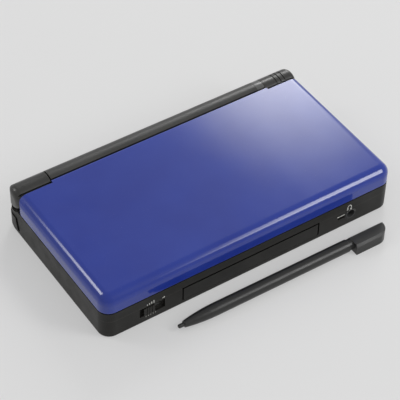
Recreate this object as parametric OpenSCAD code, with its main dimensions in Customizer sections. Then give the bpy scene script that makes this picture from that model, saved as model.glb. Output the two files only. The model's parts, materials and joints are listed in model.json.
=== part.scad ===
// Clamshell handheld game console, closed, with its pointing stylus lying in front of it.
// Millimetres. X runs left to right, Y runs from the front edge towards the hinge, Z is up.
// The origin is the centre of the console's footprint, on the table.

/* [Console] */
// Width of the console, left side to right side
body_w = 133; // [131:0.5:137]
// Depth of the console, front edge to the back of the hinge
body_d = 73.9; // [73:0.5:77]
// Height of the base's rim, where the closed lid begins
rim_z = 12.7; // [12.5:0.1:13.5]
// Height of the seam between the lower and upper halves of the base
seam_z = 8.7; // [8.6:0.05:9]
// Thin gap round the closed lid
lid_gap = 0.3; // [0.2:0.05:0.5]
// Thickness of the lid
lid_t = 8.1; // [7.8:0.1:9]
// Plan radius of the two front corners
front_r = 5; // [4.6:0.1:6]
// Plan radius of the base's two back corners
back_r = 6; // [5.5:0.1:7]
// Plan radius of the lid's two back corners
lid_back_r = 4; // [3:0.1:5]
// Rounding of the lid's top edge along the front and the sides
lid_edge_r = 4.3; // [3.5:0.1:4.5]
// Rounding of the base's bottom edge
base_edge_r = 1; // [0.6:0.1:1.4]
// Wall of the base
wall = 1.6; // [1.4:0.1:2]
// Wall of the lid's outer shell
lid_wall = 1.4; // [1.2:0.1:1.7]
// Floor of the base
floor_t = 1.5; // [1.3:0.1:1.5]
// Plate of the base's and the lid's inner faces
plate_t = 1.2; // [1:0.1:1.3]
// Depth by which the two inner faces lie below their rims
face_sink = 0.5; // [0.4:0.1:0.6]

/* [Hinge] */
// Radius of the hinge barrel and its ears
hinge_r = 5.2; // [5:0.1:5.4]
// Height of the hinge axis
hinge_z = 16.3; // [16.2:0.05:16.6]
// Length of the lid's left ear
left_ear_l = 15.9; // [15.5:0.1:16.3]
// Length of the lid's right ear
right_ear_l = 15.4; // [15:0.1:16]
// Width of the light window
window_w = 3.5; // [3:0.1:4]
// Gap between the barrel, the window and the ears
ear_gap = 0.1; // [0.1:0.05:0.3]
// Gap between the hinge's round parts and the scoop of the base and the lid
scoop_gap = 0.3; // [0.3:0.05:0.4]
// Rounding of the ears' outer ends
ear_end_r = 2.8; // [2:0.1:3.2]
// Outer radius of the sleeve that carries the lid's left side
sleeve_r = 3.6; // [3.4:0.1:3.8]
// Wall of the sleeve
sleeve_t = 0.9; // [0.7:0.1:1.1]
// Radius of the click cartridge's shaft
click_r = 2; // [1.8:0.1:2.2]
// Running clearance of the hinge, on the radius
run_gap = 0.05; // [0.03:0.01:0.08]
// Back edge of the lid's shell, in front of the hinge axis
lid_lip = 3.35; // [3:0.05:3.8]
// Height of the base's deck behind the hinge axis
deck_z = 10.9; // [10.85:0.05:11]
// Spacing of the ring grooves on the right ear
groove_pitch = 2; // [1.8:0.1:2.2]
// Width of a ring groove
groove_w = 0.5; // [0.4:0.1:0.7]

/* [Screens] */
// Width of a screen's visible window
screen_w = 62.6; // [61:0.2:63]
// Height of a screen's visible window
screen_h = 47; // [46:0.2:47.4]
// Middle of both screens, along Y
screen_y = -5.3; // [-5.6:0.1:-5]
// Margin of the glass under the window's edge
glass_margin = 1.7; // [1.5:0.1:1.8]
// Thickness of the lid's clear lens
lens_t = 0.7; // [0.5:0.1:0.8]
// Thickness of the touch panel
touch_t = 0.65; // [0.5:0.05:0.7]
// Thickness of the lower display
lower_lcd_t = 0.9; // [0.8:0.05:0.9]
// Thickness of the upper display
upper_lcd_t = 2; // [1.6:0.1:2.2]

/* [Controls] */
// Distance of the pad, the face buttons and the loudspeakers from the console's sides
control_side = 16.5; // [16:0.5:17.5]
// Middle of the direction pad, along Y
pad_y = 2; // [0:0.5:3]
// Length of the direction pad, tip to tip
pad_l = 18.6; // [17:0.2:19]
// Width of the direction pad's arms
pad_w = 6.4; // [6:0.2:7]
// Middle of the four face buttons, along Y
keys_y = 3; // [2:0.5:3]
// Distance of each face button from their middle
keys_r = 8.2; // [8:0.1:8.6]
// Radius of a face button
key_r = 3.7; // [3.4:0.1:3.9]
// Radius of the start and select buttons
small_key_r = 2.1; // [1.9:0.1:2.4]
// Distance of the start and select buttons from the console's right side
small_key_side = 24; // [22:0.5:25]
// Middle of the start button, along Y
start_y = -14.5; // [-15:0.5:-14]
// Middle of the select button, along Y
select_y = -21.5; // [-22.5:0.5:-21]
// Gap round a button in its hole
key_gap = 0.25; // [0.2:0.05:0.4]
// Overhang of a button's hidden flange
key_flange = 0.8; // [0.6:0.1:0.9]
// Height of a button's top face
key_top_z = 12.75; // [12.7:0.05:13]

/* [Front edge] */
// Left end of the cartridge cover
cover_x0 = -32.1; // [-32.4:0.1:-31]
// Right end of the cartridge cover
cover_x1 = 30.6; // [29.5:0.1:30.8]
// Bottom of the cartridge cover
cover_z0 = 2.4; // [2.3:0.1:2.8]
// Gap round the cartridge cover
cover_gap = 0.3; // [0.2:0.05:0.4]
// Depth of the cartridge bay, from the front edge
bay_d = 23; // [22:0.5:23.5]
// Distance of the volume recess from the console's left side
volume_side = 15.2; // [14.8:0.1:15.8]
// Length of the volume recess
volume_l = 11.2; // [10.6:0.1:11.6]
// Bottom of the volume recess
volume_z0 = 3.6; // [3.4:0.1:3.8]
// Top of the volume recess
volume_z1 = 8.1; // [8:0.1:8.2]
// Length of the volume slider's knob
volume_knob = 4.8; // [4.4:0.1:5]
// Distance of the headphone socket from the console's right side
jack_side = 19.8; // [18.6:0.1:20.2]
// Height of the headphone socket's axis
jack_z = 5.6; // [5.4:0.1:5.8]
// Radius of the headphone socket's bore
jack_r = 1.8; // [1.75:0.05:1.9]
// Length of the headphone socket's bore
jack_l = 13; // [12:0.5:13.5]

/* [Back and sides] */
// Width of the game card slot at the back
card_w = 34; // [33.6:0.1:34.4]
// Height of the game card slot
card_h = 4.3; // [4.2:0.05:4.35]
// Depth of the game card slot
card_d = 24; // [23:0.5:24.5]
// Length of a shoulder button along the back
shoulder_l = 20; // [19:0.2:20.4]
// Bottom of a shoulder button
shoulder_z0 = 2.3; // [2.2:0.1:2.6]
// Height by which a shoulder button stands out of the wall
shoulder_bulge = 0.4; // [0.2:0.05:0.5]
// Gap in front of a shoulder button, at its top
shoulder_gap = 0.9; // [0.85:0.05:1.1]
// Front end of a shoulder button, at its top
shoulder_y = 29.3; // [29:0.1:30]
// Slant of a shoulder button's front end, top to bottom
shoulder_slant = 1.6; // [1.2:0.1:1.8]
// Wall of a shoulder button
shoulder_t = 1.7; // [1.5:0.1:1.9]
// Radius of a shoulder button's pin
shoulder_pin_r = 0.75; // [0.6:0.05:0.9]
// Length of the power switch's recess
power_l = 9.4; // [9:0.2:10]
// Length of the power switch's knob
power_knob = 6; // [5.4:0.2:6.2]
// Middle of the power switch's recess
power_y = -1.7; // [-2.4:0.1:-1]
// Middle of the power socket
power_socket_x = 30.2; // [30:0.1:31]
// Width of the power socket's opening
power_socket_w = 6.4; // [6:0.1:6.6]
// Middle of the strap pocket
strap_x = 40; // [39.5:0.1:40.5]
// Width of the strap pocket
strap_w = 5.6; // [5:0.1:6]

/* [Stylus] */
// Diameter of the stylus
stylus_d = 5.2; // [4.8:0.1:5.2]
// Length of the stylus from its tip to its cap
stylus_shaft = 79.7; // [77:0.1:80.5]
// Length of the stylus's cap
stylus_cap = 16; // [14:0.5:16]
// Width of the stylus's cap
stylus_cap_w = 6.2; // [5.8:0.1:6.3]
// Middle of the stylus in front of the console, along Y
stylus_y = -47.35; // [-49:0.05:-47]
// Place of the tip on the table, along X
stylus_x = -41; // [-44:0.5:-38]
// Turn of the stylus on the table, in degrees
stylus_turn = -0.4; // [-1:0.1:0.5]
// Clearance of the stylus in its silo, on the radius
silo_gap = 0.1; // [0.05:0.05:0.15]
// Wall of the silo
silo_t = 0.55; // [0.5:0.05:0.6]
// Distance of the silo's axis from the hinge axis, along Y
silo_dy = 7.15; // [7.1:0.05:7.4]
// Height of the silo's axis
silo_z = 9.2; // [9.15:0.05:9.25]
// Wall of the housing of the stylus's cap
housing_t = 0.4; // [0.35:0.05:0.5]

/* [Inside] */
// Distance of the battery from the game card slot
battery_card = 4; // [3.8:0.1:4.6]
// Distance of the battery from the console's right side
battery_side = 9.5; // [9.4:0.1:10.5]
// Front side of the battery
battery_y0 = -8.5; // [-8.6:0.1:-7]
// Depth of the battery
battery_d = 26.5; // [24:0.5:26.5]
// Height of the battery
battery_h = 5.3; // [5:0.1:5.3]
// Gap round the battery
battery_gap = 0.4; // [0.3:0.05:0.4]
// Wall of the battery bay
battery_wall = 0.8; // [0.7:0.1:0.8]
// Height of the main board's lower face
board_z = 7.6; // [7.55:0.05:7.6]
// Thickness of the main board
board_t = 0.8; // [0.6:0.1:0.9]
// Gap of a drop-in piece in its seat
fit_gap = 0.1; // [0.05:0.05:0.15]
// Radius of the case screws' shanks
screw_r = 0.8; // [0.7:0.05:0.9]
// Radius of the case screws' heads
screw_head_r = 1.7; // [1.5:0.1:1.8]
// Radius of the screw bosses
boss_r = 2.6; // [2.5:0.1:2.7]
// Radius of the loudspeakers
speaker_r = 8; // [7:0.2:8.6]

/* [Hidden] */
$fn = 48;
e = 0.01;
half_w = body_w / 2;
front_y = -body_d / 2;
rear_y = body_d / 2;
hinge_y = rear_y - hinge_r;
scoop_r = hinge_r + scoop_gap;
face_z = rim_z - face_sink;
plate_z = face_z - plate_t;
lid_z0 = rim_z + lid_gap;
lid_z1 = lid_z0 + lid_t;
lid_face_z = lid_z0 + face_sink;
lid_plate_z = lid_face_z + plate_t + 0.2;
lid_roof_z = lid_z1 - lid_wall + 0.2;
lid_back_y = hinge_y - lid_lip;
lid_wall_y = hinge_y - scoop_r - 1.6;
ear_x0 = -half_w + left_ear_l;
ear_x1 = half_w - right_ear_l;
barrel_x0 = ear_x0 + ear_gap;
barrel_x1 = ear_x1 - ear_gap - window_w;
window_x0 = barrel_x1 + ear_gap / 2;
window_x1 = barrel_x1 + window_w;
barrel_bore_r = sleeve_r + run_gap;
web_z = hinge_z - 3.9;
deck_roof_z = deck_z - 1.4;
silo_y = hinge_y - silo_dy;
silo_r = stylus_d / 2 + silo_gap;
silo_x0 = half_w - stylus_cap - stylus_shaft - 0.6;
pocket_x = half_w - stylus_cap - 0.3;
cap_side = stylus_cap_w - 1.9;
pocket_y0 = silo_y - cap_side - 0.2;
pocket_y1 = silo_y + silo_r + 0.05;
housing_y0 = pocket_y0 - 0.7;
housing_y1 = pocket_y1 + housing_t;
pad_x = -half_w + control_side;
keys_x = half_w - control_side;
speaker_x = half_w - control_side;
small_keys_x = half_w - small_key_side;
volume_x0 = -half_w + volume_side;
jack_x = half_w - jack_side;
card_x1 = card_w / 2;
battery_x0 = card_x1 + battery_card;
battery_w = half_w - battery_side - battery_x0;
battery_screw_x = battery_x0 + battery_w / 2 + 6;
shoulder_x = half_w - shoulder_l;
pin_x = shoulder_x + 2;
pin_y = rear_y - 3;
glass_w = screen_w + 2 * glass_margin;
glass_h = screen_h + 2 * glass_margin;
lower_lcd_z = plate_z - touch_t - lower_lcd_t - 0.05;
shield_z = lower_lcd_z - 0.45;
platform_z = cover_z0 - cover_gap;
cover_z1 = seam_z - 0.2;
board_top_z = board_z + board_t;
flange_z1 = plate_z - 0.15;
flange_h = 0.6;
bay_x0 = battery_x0 - battery_gap;
bay_x1 = battery_x0 + battery_w + battery_gap;
bay_y0 = battery_y0 - battery_gap;
bay_y1 = battery_y0 + battery_d + battery_gap;
cover_t = floor_t - 0.1;
cap_h = 5;
// Places of the case screws, left front first
screws = [
    [-half_w + 5.5, front_y + 5.95],
    [half_w - 5.5, front_y + 5.95],
    [-half_w + 5.5, 12],
    [half_w - 5.5, 12],
    [-36, rear_y - 4.95],
    [card_x1 + 5.5, rear_y - 4.45]
];
lid_screw_places = [
    [-half_w + 8.5, front_y + 7],
    [half_w - 8.5, front_y + 7],
    [-half_w + 8.5, hinge_y - 15.4],
    [half_w - 8.5, hinge_y - 15.4]
];
// Places of the four face buttons: right, bottom, top, left
keys = [
    [keys_x + keys_r, keys_y],
    [keys_x, keys_y - keys_r],
    [keys_x, keys_y + keys_r],
    [keys_x - keys_r, keys_y]
];

// Section of a rounded edge: a bar of length r and height h whose outer top edge has radius f
module edge_section(r, h, f) {
    square([r, h - f]);
    square([r - f, h]);
    translate([r - f, h - f]) intersection() {
        circle(r = f);
        square(f);
    }
}

// Section of a bar of width w and height h with both top edges rounded
module bar_section(w, h, f) {
    translate([-w / 2, 0]) square([w, h - f]);
    translate([-w / 2 + f, 0]) square([w - 2 * f, h]);
    for (s = [-1, 1]) translate([s * (w / 2 - f), h - f]) circle(r = f);
}

// Slab from y0 to y1 with plan radii r0 in front and r1 at the back, and a top edge of radius f
module soft_slab(w, y0, y1, r0, r1, h, f) {
    translate([0, y1 - r1, 0]) rotate([90, 0, 0])
        linear_extrude(y1 - r1 - y0 - r0) bar_section(w, h, f);
    for (s = [-1, 1]) {
        translate([s * (w / 2 - r0), y0 + r0, 0]) rotate([0, 0, s > 0 ? 270 : 180])
            rotate_extrude(angle = 90) edge_section(r0, h, f);
        translate([s * (w / 2 - r1), y1 - r1, 0]) rotate([0, 0, s > 0 ? 0 : 90])
            rotate_extrude(angle = 90) edge_section(r1, h, f);
    }
    translate([-w / 2 + r0, y0 + r0, 0]) rotate([90, 0, 90])
        linear_extrude(w - 2 * r0) mirror([1, 0]) edge_section(r0, h, f);
    translate([-w / 2 + r1, y1 - r1, 0]) rotate([90, 0, 90])
        linear_extrude(w - 2 * r1) edge_section(r1, h, f);
}

// Plan outline of the base, set in by d
module outline(d = 0) {
    w = half_w - d;
    r0 = front_r - d;
    r1 = back_r - d;
    translate([-w, front_y + d + r0]) square([2 * w, body_d - 2 * d - r0 - r1]);
    translate([-w + r0, front_y + d]) square([2 * (w - r0), r0 + 1]);
    translate([-w + r1, rear_y - d - r1 - 1]) square([2 * (w - r1), r1 + 1]);
    for (s = [-1, 1]) {
        translate([s * (w - r0), front_y + d + r0]) circle(r = r0);
        translate([s * (w - r1), rear_y - d - r1]) circle(r = r1);
    }
}

// Cylinder along X from x0 to x1 about the hinge axis
module hinge_rod(r, x0, x1) {
    translate([x0, hinge_y, hinge_z]) rotate([0, 90, 0]) cylinder(r = r, h = x1 - x0);
}

// Box from corner a to corner b
module block(a, b) {
    translate(a) cube(b - a);
}

// Ring, a bore of radius r0 in a disc of radius r1
module ring(r1, r0, h) {
    difference() {
        cylinder(r = r1, h = h);
        translate([0, 0, -1]) cylinder(r = r0, h = h + 2);
    }
}

// ---- Lid ----

// Hinge ear whose outer end is rounded, from the inner face at x 0 out to x len
module ear(len) {
    rotate([0, 90, 0]) rotate_extrude() {
        square([hinge_r, len - ear_end_r]);
        square([hinge_r - ear_end_r, len]);
        translate([hinge_r - ear_end_r, len - ear_end_r]) intersection() {
            circle(r = ear_end_r);
            square(ear_end_r);
        }
    }
}

module lid_outer_shell() {
    color([0.17, 0.2, 0.48]) difference() {
        union() {
            difference() {
                intersection() {
                    translate([0, 0, lid_z0])
                        soft_slab(body_w, front_y, rear_y + 9, front_r, front_r, lid_t, lid_edge_r);
                    translate([0, 0, lid_z0 - 1]) linear_extrude(lid_t + 2) {
                        translate([-half_w - 3, front_y - 3])
                            square([body_w + 6, lid_back_y - lid_back_r - front_y + 3]);
                        translate([-half_w + lid_back_r, 0]) square([body_w - 2 * lid_back_r, lid_back_y]);
                        for (s = [-1, 1])
                            translate([s * (half_w - lid_back_r), lid_back_y - lid_back_r])
                                circle(r = lid_back_r);
                    }
                }
                translate([0, 0, lid_z0 - 1])
                    soft_slab(body_w - 2 * lid_wall, front_y + lid_wall, lid_wall_y, front_r - lid_wall,
                        1, lid_roof_z - lid_z0 + 1, 0.8);
            }
            for (p = lid_screw_places) translate([p.x, p.y, lid_plate_z + 1.6])
                cylinder(r = 2.2, h = lid_roof_z - lid_plate_z - 1.5);
        }
        hinge_rod(scoop_r, -half_w - 1, half_w + 1);
        // Ways of the inner case's arms to the ears
        block([-half_w + lid_wall, lid_wall_y - 1, lid_z0 - 1], [ear_x0 + fit_gap, hinge_y, lid_roof_z]);
        block([ear_x1 - fit_gap, lid_wall_y - 1, lid_z0 - 1], [half_w - lid_wall, hinge_y, lid_roof_z]);
        for (p = lid_screw_places) translate([p.x, p.y, lid_plate_z])
            cylinder(r = screw_r + 0.02, h = lid_roof_z - lid_plate_z - 0.4);
    }
}

// Arm that joins the lid's inner case to an ear, between x0 and x1
module ear_arm(x0, x1) {
    block([x0, lid_wall_y - 2, lid_z0], [x1, hinge_y - 2, lid_roof_z - fit_gap]);
}

module lid_inner_case() {
    w = body_w - 2 * lid_wall - 2 * fit_gap;
    y0 = front_y + lid_wall + fit_gap;
    y1 = lid_wall_y - fit_gap;
    r = front_r - lid_wall - fit_gap;
    color([0.13, 0.13, 0.14]) difference() {
        union() {
            difference() {
                translate([0, 0, lid_z0]) soft_slab(w, y0, y1, r, 0.9, lid_roof_z - fit_gap - lid_z0, 0.7);
                block([-w / 2 + 1.2, y0 + 1.2, lid_plate_z], [w / 2 - 1.2, y1 - 1.2, lid_z1]);
            }
            intersection() {
                union() {
                    ear_arm(-w / 2 + 0.8, ear_x0);
                    ear_arm(ear_x1, w / 2 - 0.8);
                }
                translate([0, 0, -e]) hinge_rod(hinge_r + 4.5, -half_w, half_w);
            }
            translate([ear_x1, hinge_y, hinge_z]) ear(half_w - ear_x1);
            translate([ear_x0, hinge_y, hinge_z]) mirror([1, 0, 0]) ear(half_w + ear_x0);
            for (p = lid_screw_places) translate([p.x, p.y, lid_z0 + 1]) cylinder(r = 3, h = 2.4);
        }
        // Sunk face with the screen window and its glass seat
        block([-half_w + 4, front_y + 4, lid_z0 - 1], [half_w - 4, lid_wall_y - 3.5, lid_face_z]);
        translate([-glass_w / 2 - fit_gap, screen_y - glass_h / 2 - fit_gap, lid_face_z - 1])
            cube([glass_w + 2 * fit_gap, glass_h + 2 * fit_gap, lens_t + 1]);
        translate([-screen_w / 2, screen_y - screen_h / 2, lid_face_z]) cube([screen_w, screen_h, 9]);
        // Loudspeaker grilles
        for (s = [-1, 1]) translate([s * speaker_x, screen_y, lid_face_z - 1]) {
            cylinder(r = 0.7, h = 4);
            for (a = [0 : 60 : 300]) rotate([0, 0, a]) translate([3.2, 0, 0]) cylinder(r = 0.7, h = 4);
        }
        // Screws, under their bumpers
        for (p = lid_screw_places) translate([p.x, p.y, lid_face_z - 1]) {
            cylinder(r = 2.3, h = 1.3);
            cylinder(r = screw_head_r + fit_gap, h = 2.4);
            cylinder(r = screw_r + fit_gap, h = 9);
        }
        // Bores of the sleeve and of the click cartridge
        hinge_rod(sleeve_r + 0.02, ear_x0 - 9, ear_x0 + 1);
        hinge_rod(click_r + run_gap, ear_x1 - 1, ear_x1 + 10);
        // Way of the ribbon cable out of the ear
        block([ear_x0 - 9, lid_wall_y - 3, hinge_z - 1.2], [ear_x0 - 4, hinge_y, hinge_z + 1.2]);
        // Ring grooves of the right ear
        for (i = [0 : 2]) translate([ear_x1 + 5.6 + i * groove_pitch, hinge_y, hinge_z]) rotate([0, 90, 0])
            ring(hinge_r + 1, hinge_r - 0.4, groove_w);
    }
}

module upper_screen_lens() {
    color([0.1, 0.1, 0.11]) translate([-glass_w / 2, screen_y - glass_h / 2, lid_face_z])
        cube([glass_w, glass_h, lens_t]);
}

module upper_display() {
    color([0.3, 0.32, 0.35]) translate([-glass_w / 2, screen_y - glass_h / 2, lid_plate_z])
        cube([glass_w, glass_h, upper_lcd_t]);
}

module upper_display_holder() {
    color([0.85, 0.85, 0.83]) difference() {
        translate([-glass_w / 2 - 2, screen_y - glass_h / 2 - 2, lid_plate_z])
            cube([glass_w + 4, glass_h + 4, upper_lcd_t + 1]);
        translate([-glass_w / 2 - fit_gap, screen_y - glass_h / 2 - fit_gap, lid_plate_z - 1])
            cube([glass_w + 2 * fit_gap, glass_h + 2 * fit_gap, upper_lcd_t + 1 + fit_gap]);
        block([-20, screen_y - 12, lid_plate_z], [20, screen_y + 12, lid_z1]);
    }
}

// Loudspeaker on side s, with its rim, magnet and sound opening
module speaker(s) {
    color([0.25, 0.25, 0.26]) translate([s * speaker_x, screen_y, lid_plate_z]) difference() {
        union() {
            cylinder(r = speaker_r, h = 1.8);
            cylinder(r = speaker_r * 0.62, h = 3.2);
        }
        translate([0, 0, -e]) cylinder(r = speaker_r - 1.4, h = 0.6);
    }
}

module left_speaker() {
    speaker(-1);
}

module right_speaker() {
    speaker(1);
}

module lid_bumpers() {
    color([0.09, 0.09, 0.09]) for (p = lid_screw_places) translate([p.x, p.y, face_z + 0.1])
        cylinder(r = 2.2, h = lid_face_z + 0.3 - face_z - 0.1);
}

module lid_screws() {
    color([0.6, 0.6, 0.6]) for (p = lid_screw_places) translate([p.x, p.y, lid_face_z + 0.3]) difference() {
        union() {
            cylinder(r = screw_head_r, h = 1.1);
            cylinder(r = screw_r, h = 5);
        }
        for (a = [0 : 120 : 240]) rotate([0, 0, a]) translate([0, -0.15, -e]) cube([1.1, 0.3, 0.5]);
    }
}

// ---- Hinge ----

module hinge_sleeve() {
    color([0.3, 0.3, 0.31]) difference() {
        hinge_rod(sleeve_r, ear_x0 - 8.9, barrel_x0 + 6.5);
        hinge_rod(sleeve_r - sleeve_t, ear_x0 - 10, barrel_x0 + 8);
        block([ear_x0 - 9.5, hinge_y - 9, hinge_z - 1.2], [ear_x0 - 4, hinge_y, hinge_z + 1.2]);
    }
}

module hinge_cartridge() {
    color([0.55, 0.56, 0.58]) union() {
        hinge_rod(sleeve_r, barrel_x1 - 13, barrel_x1 - 0.1);
        hinge_rod(click_r, barrel_x1 - 1, ear_x1 + 9.5);
    }
}

module hinge_light_window() {
    color([0.5, 0.51, 0.5]) difference() {
        union() {
            hinge_rod(hinge_r, window_x0, window_x1);
            block([window_x0, hinge_y - 2.5, deck_roof_z], [window_x1, hinge_y + 2.5, hinge_z - 2]);
        }
        hinge_rod(click_r + fit_gap, window_x0 - 1, window_x1 + 1);
    }
}

module status_lights() {
    color([0.9, 0.85, 0.5]) for (s = [-1, 1])
        translate([(window_x0 + window_x1) / 2 - 0.6, hinge_y + s * 1.3 - 0.6, deck_roof_z - 0.8])
            cube([1.2, 1.2, 0.8]);
}

module microphone() {
    color([0.7, 0.7, 0.68]) hinge_rod(sleeve_r - 0.6, -1.1, 1.1);
}

module display_ribbon_cable() {
    color([0.75, 0.45, 0.15]) union() {
        block([ear_x0 - 8.5, hinge_y - 0.2, hinge_z - 1.8], [barrel_x0 + 10.5, hinge_y + 0.2, hinge_z + 1.8]);
        block([barrel_x0 + 6.9, hinge_y - 0.2, deck_roof_z - 0.7],
            [barrel_x0 + 10.5, hinge_y + 0.2, hinge_z]);
        block([barrel_x0 + 6.9, silo_y - 1.5, deck_roof_z - 0.7],
            [barrel_x0 + 10.5, hinge_y + 0.2, deck_roof_z - 0.4]);
        block([barrel_x0 + 6.4, silo_y - 1.5, board_top_z], [barrel_x0 + 11, silo_y + 1, deck_roof_z - 0.7]);
    }
}

// ---- Base, upper half ----

module pad_cross(d = 0) {
    square([pad_l + 2 * d, pad_w + 2 * d], center = true);
    square([pad_w + 2 * d, pad_l + 2 * d], center = true);
}

module base_upper_case() {
    color([0.15, 0.15, 0.15]) difference() {
        union() {
            difference() {
                translate([0, 0, seam_z]) linear_extrude(rim_z - seam_z) outline();
                translate([0, 0, seam_z - 1]) linear_extrude(plate_z - seam_z + 1) intersection() {
                    outline(wall);
                    translate([-body_w, -body_d]) square([2 * body_w, body_d + hinge_y - 6]);
                }
                translate([0, 0, seam_z - 1]) linear_extrude(deck_roof_z - seam_z + 1) outline(wall);
                hinge_rod(scoop_r, -half_w - 1, half_w + 1);
                block([-half_w - 1, hinge_y, deck_z], [half_w + 1, rear_y + 1, rim_z + 1]);
            }
            // Hinge barrel on its web
            hinge_rod(hinge_r, barrel_x0, barrel_x1);
            block([barrel_x0, hinge_y - 4.6, deck_roof_z], [barrel_x1, rear_y, web_z]);
            // Stylus silo and the housing of the stylus's cap
            translate([silo_x0 - 1, silo_y, silo_z]) rotate([0, 90, 0])
                cylinder(r = silo_r + silo_t, h = half_w - silo_x0 - 2);
            block([pocket_x - 0.8, housing_y0, silo_z - 3.4], [half_w, housing_y1, plate_z + 0.5]);
            for (p = screws) translate([p.x, p.y, seam_z])
                cylinder(r = boss_r - 0.2, h = plate_z - seam_z + 0.5);
        }
        // Sunk face
        block([-half_w + 4, front_y + 4, face_z], [half_w - 4, pocket_y0 - 1, rim_z + 1]);
        translate([-screen_w / 2, screen_y - screen_h / 2, plate_z - 1]) cube([screen_w, screen_h, 9]);
        translate([pad_x, pad_y, plate_z - 1]) linear_extrude(9) pad_cross(key_gap + 0.15);
        for (k = keys) translate([k.x, k.y, plate_z - 1]) cylinder(r = key_r + key_gap, h = 9);
        for (y = [start_y, select_y]) translate([small_keys_x, y, plate_z - 1])
            cylinder(r = small_key_r + key_gap, h = 9);
        // Bore of the hinge, the microphone's hole and the way of the ribbon cable
        hinge_rod(barrel_bore_r, barrel_x0 - 1, barrel_x1 + 1);
        translate([0, hinge_y, hinge_z]) rotate([20, 0, 0]) rotate([90, 0, 0]) cylinder(r = 0.6, h = 9);
        block([barrel_x0 + 6.6, hinge_y - 1, seam_z - 1], [barrel_x0 + 10.8, hinge_y + 1, hinge_z]);
        // Foot of the light window
        block([window_x0 - fit_gap, hinge_y - 2.5 - fit_gap, seam_z],
            [window_x1 + fit_gap, hinge_y + 2.5 + fit_gap, rim_z]);
        // Silo bore and the pocket of the stylus's cap
        translate([silo_x0, silo_y, silo_z]) rotate([0, 90, 0])
            cylinder(r = silo_r, h = pocket_x - silo_x0 + 1);
        block([pocket_x, pocket_y0, silo_z - silo_r - 0.05], [half_w + 1, pocket_y1, silo_z + silo_r + 0.05]);
        for (p = screws) translate([p.x, p.y, seam_z - 1]) cylinder(r = screw_r + 0.02, h = 2.4);
    }
}

module touch_panel() {
    color([0.55, 0.57, 0.6]) translate([-glass_w / 2, screen_y - glass_h / 2, plate_z - touch_t])
        cube([glass_w, glass_h, touch_t]);
}

module lower_display() {
    color([0.3, 0.32, 0.35]) translate([-glass_w / 2, screen_y - glass_h / 2, lower_lcd_z])
        cube([glass_w, glass_h, lower_lcd_t]);
}

module lower_display_holder() {
    color([0.8, 0.8, 0.78]) union() {
        difference() {
            translate([-glass_w / 2 - 1.3, screen_y - glass_h / 2 - 1.2, lower_lcd_z])
                cube([glass_w + 2.6, glass_h + 2.4, plate_z - lower_lcd_z]);
            translate([-glass_w / 2 - fit_gap, screen_y - glass_h / 2 - fit_gap, lower_lcd_z - 1])
                cube([glass_w + 2 * fit_gap, glass_h + 2 * fit_gap, 9]);
        }
        for (s = [-1, 1]) translate([s * (glass_w / 2 + 0.7) - 0.6, 4, board_top_z])
            cube([1.2, 12, lower_lcd_z - board_top_z + e]);
    }
}

// ---- Controls ----

module direction_pad() {
    color([0.1, 0.1, 0.1]) translate([pad_x, pad_y, 0]) difference() {
        union() {
            translate([0, 0, flange_z1 - 0.55]) linear_extrude(key_top_z - flange_z1 + 0.55) pad_cross();
            translate([0, 0, flange_z1 - 1.1]) cylinder(r = pad_l / 2 + 0.9, h = flange_h);
        }
        // Dished middle and the arms' finger grooves
        translate([0, 0, key_top_z + 11.6]) sphere(r = 12);
        for (a = [0 : 90 : 270]) rotate([0, 0, a]) translate([pad_l / 2 - 2.6, -1.2, key_top_z - 0.25])
            cube([1, 2.4, 1]);
        translate([0, 0, board_top_z + 1.5]) sphere(r = 1.25);
    }
}

module pad_pivot() {
    color([0.2, 0.2, 0.2]) translate([pad_x, pad_y, board_top_z + 1.5]) sphere(r = 1.2);
}

module pad_membrane() {
    color([0.7, 0.7, 0.68]) translate([pad_x, pad_y, board_top_z]) union() {
        difference() {
            cylinder(r = pad_l / 2, h = 0.45);
            translate([0, 0, -1]) cylinder(r = 1.4, h = 3);
        }
        for (a = [0 : 90 : 270]) rotate([0, 0, a]) translate([pad_l / 2 - 3, 0, 0]) cylinder(r = 2, h = 0.65);
    }
}

// Round push button at place p, with its flange under the face plate
module push_button(p, r) {
    color([0.12, 0.12, 0.12]) translate([p.x, p.y, flange_z1 - flange_h]) difference() {
        union() {
            cylinder(r = r + key_flange, h = flange_h);
            cylinder(r = r, h = key_top_z - flange_z1 + flange_h - 0.4);
            translate([0, 0, key_top_z - flange_z1 + flange_h - 0.4 - e])
                cylinder(r1 = r, r2 = r - 0.4, h = 0.4 + e);
        }
        translate([0, 0, -e]) cylinder(r = r - 1, h = 0.9);
    }
}

module key_right() {
    push_button(keys[0], key_r);
}

module key_bottom() {
    push_button(keys[1], key_r);
}

module key_top() {
    push_button(keys[2], key_r);
}

module key_left() {
    push_button(keys[3], key_r);
}

module start_button() {
    push_button([small_keys_x, start_y], small_key_r);
}

module select_button() {
    push_button([small_keys_x, select_y], small_key_r);
}

module key_membrane() {
    color([0.7, 0.7, 0.68]) translate([0, 0, board_top_z]) union() {
        linear_extrude(0.6) {
            for (k = keys) translate(k) circle(r = key_r + 1);
            translate([keys_x, keys_y]) square(keys_r * 1.5, center = true);
            translate([small_keys_x - 3, select_y - 3]) square([6, start_y - select_y + 6]);
            translate([small_keys_x - 1, start_y]) square([2, keys_y - start_y]);
        }
        for (k = keys) translate([k.x, k.y, 0]) cylinder(r = key_r - 1.4, h = 1);
        for (y = [start_y, select_y]) translate([small_keys_x, y, 0]) cylinder(r = 1, h = 1);
    }
}

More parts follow.
